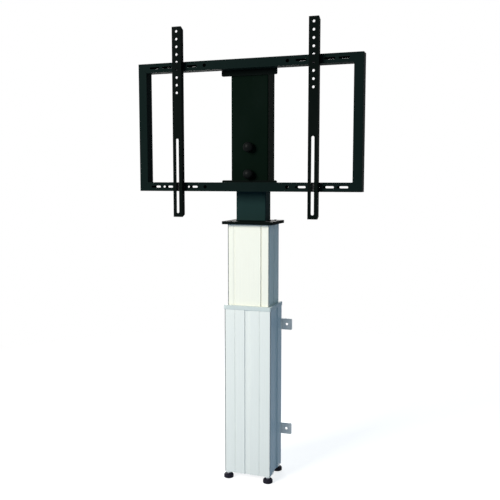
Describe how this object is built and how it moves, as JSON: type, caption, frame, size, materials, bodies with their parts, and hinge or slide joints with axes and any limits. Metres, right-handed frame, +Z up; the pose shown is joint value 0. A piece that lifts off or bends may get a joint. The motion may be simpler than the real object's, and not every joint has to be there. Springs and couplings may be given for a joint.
{
  "type": "motorised tv floor stand",
  "caption": "Telescopic aluminium lift column on levelling feet, with a black mast, a height-adjustable clamped sleeve, a tube frame and slotted vertical arms that hold a flat screen.",
  "frame": {"origin": "on the floor, under the middle of the whole stand's width and depth", "axes": "+Z up along the column, -Y towards the viewer of the screen, +X to the viewer's right"},
  "size_m": [0.774, 0.1844, 1.546],
  "materials": {
    "anodised_aluminium": "satin anodised extrusion",
    "cast_aluminium": "die cast",
    "grey_plastic": "moulded satin",
    "zinc_steel": "zinc plated",
    "bronze_nut": "machined",
    "black_plastic": "moulded satin",
    "black_powder_coat": "fine textured powder coat on steel",
    "foot_rubber": "moulded"
  },
  "bodies": {
    "column_base": {"outer_column": "anodised_aluminium", "outer_collar": "grey_plastic", "base_plate": "zinc_steel", "base_plate_screws": "zinc_steel", "foot_lock_nuts": "zinc_steel", "upper_glide_pads": "black_plastic", "gearbox_housing": "cast_aluminium", "motor_housing": "zinc_steel", "spindle_bearing": "zinc_steel", "cable_grommet": "black_plastic", "upper_wall_bracket": "zinc_steel", "lower_wall_bracket": "zinc_steel", "wall_bracket_screws": "zinc_steel"},
    "spindle": {"lead_screw": "zinc_steel"},
    "lift_stage": {"inner_column": "anodised_aluminium", "lower_glide_pads": "black_plastic", "spindle_nut": "bronze_nut", "push_tube": "zinc_steel", "top_plate": "black_powder_coat", "top_plate_screws": "zinc_steel", "mast": "black_powder_coat", "mast_cap": "black_plastic"},
    "carriage": {"sleeve": "black_powder_coat", "lower_sleeve_bush": "black_plastic", "upper_sleeve_bush": "black_plastic", "clamp_shoe": "black_plastic", "knob_bosses": "black_powder_coat", "lower_cross_plate": "black_powder_coat", "upper_cross_plate": "black_powder_coat", "cross_plate_bolts": "zinc_steel", "frame_bottom_rail": "black_powder_coat", "frame_top_rail": "black_powder_coat", "frame_left_upright": "black_powder_coat", "frame_right_upright": "black_powder_coat"},
    "upper_clamp": {"upper_knob": "black_plastic", "upper_knob_stud": "zinc_steel"},
    "lower_clamp": {"lower_knob": "black_plastic", "lower_knob_stud": "zinc_steel"},
    "left_arm_set": {"left_arm": "black_powder_coat", "left_arm_nut_blocks": "zinc_steel", "left_arm_bolts": "zinc_steel"},
    "right_arm_set": {"right_arm": "black_powder_coat", "right_arm_nut_blocks": "zinc_steel", "right_arm_bolts": "zinc_steel"},
    "foot_front_left": {"foot_pad_front_left": "foot_rubber", "foot_stud_front_left": "zinc_steel"},
    "foot_front_right": {"foot_pad_front_right": "foot_rubber", "foot_stud_front_right": "zinc_steel"},
    "foot_rear_left": {"foot_pad_rear_left": "foot_rubber", "foot_stud_rear_left": "zinc_steel"},
    "foot_rear_right": {"foot_pad_rear_right": "foot_rubber", "foot_stud_rear_right": "zinc_steel"}
  },
  "joints": [
    {"name": "lift_slide", "type": "slide", "parent": "column_base", "child": "lift_stage", "axis": [0, 0, 1], "range_m": [-0.26, 0.13]},
    {"name": "lead_screw_turn", "type": "hinge", "parent": "column_base", "child": "spindle", "pos_m": [0.03, 0.01695, 0.3], "axis": [0, 0, 1], "continuous": true},
    {"name": "carriage_slide", "type": "slide", "parent": "lift_stage", "child": "carriage", "axis": [0, 0, 1], "range_m": [-0.09, 0.1]},
    {"name": "upper_knob_turn", "type": "hinge", "parent": "carriage", "child": "upper_clamp", "pos_m": [0, -0.03305, 1.15], "axis": [0, -1, 0], "range_deg": [0, 360]},
    {"name": "lower_knob_turn", "type": "hinge", "parent": "carriage", "child": "lower_clamp", "pos_m": [0, -0.03305, 1.06], "axis": [0, -1, 0], "range_deg": [0, 360]},
    {"name": "left_arm_slide", "type": "slide", "parent": "carriage", "child": "left_arm_set", "axis": [1, 0, 0], "range_m": [-0.012, 0.012]},
    {"name": "right_arm_slide", "type": "slide", "parent": "carriage", "child": "right_arm_set", "axis": [1, 0, 0], "range_m": [-0.012, 0.012]},
    {"name": "foot_turn_front_left", "type": "hinge", "parent": "column_base", "child": "foot_front_left", "pos_m": [-0.072, -0.03905, 0.02], "axis": [0, 0, 1], "range_deg": [-720, 720]},
    {"name": "foot_turn_front_right", "type": "hinge", "parent": "column_base", "child": "foot_front_right", "pos_m": [0.072, -0.03905, 0.02], "axis": [0, 0, 1], "range_deg": [-720, 720]},
    {"name": "foot_turn_rear_left", "type": "hinge", "parent": "column_base", "child": "foot_rear_left", "pos_m": [-0.072, 0.07295, 0.02], "axis": [0, 0, 1], "range_deg": [-720, 720]},
    {"name": "foot_turn_rear_right", "type": "hinge", "parent": "column_base", "child": "foot_rear_right", "pos_m": [0.072, 0.07295, 0.02], "axis": [0, 0, 1], "range_deg": [-720, 720]}
  ],
  "couplings": [
    {"joint": "lead_screw_turn", "follows": "lift_slide", "rad_per_m": 523.6}
  ]
}
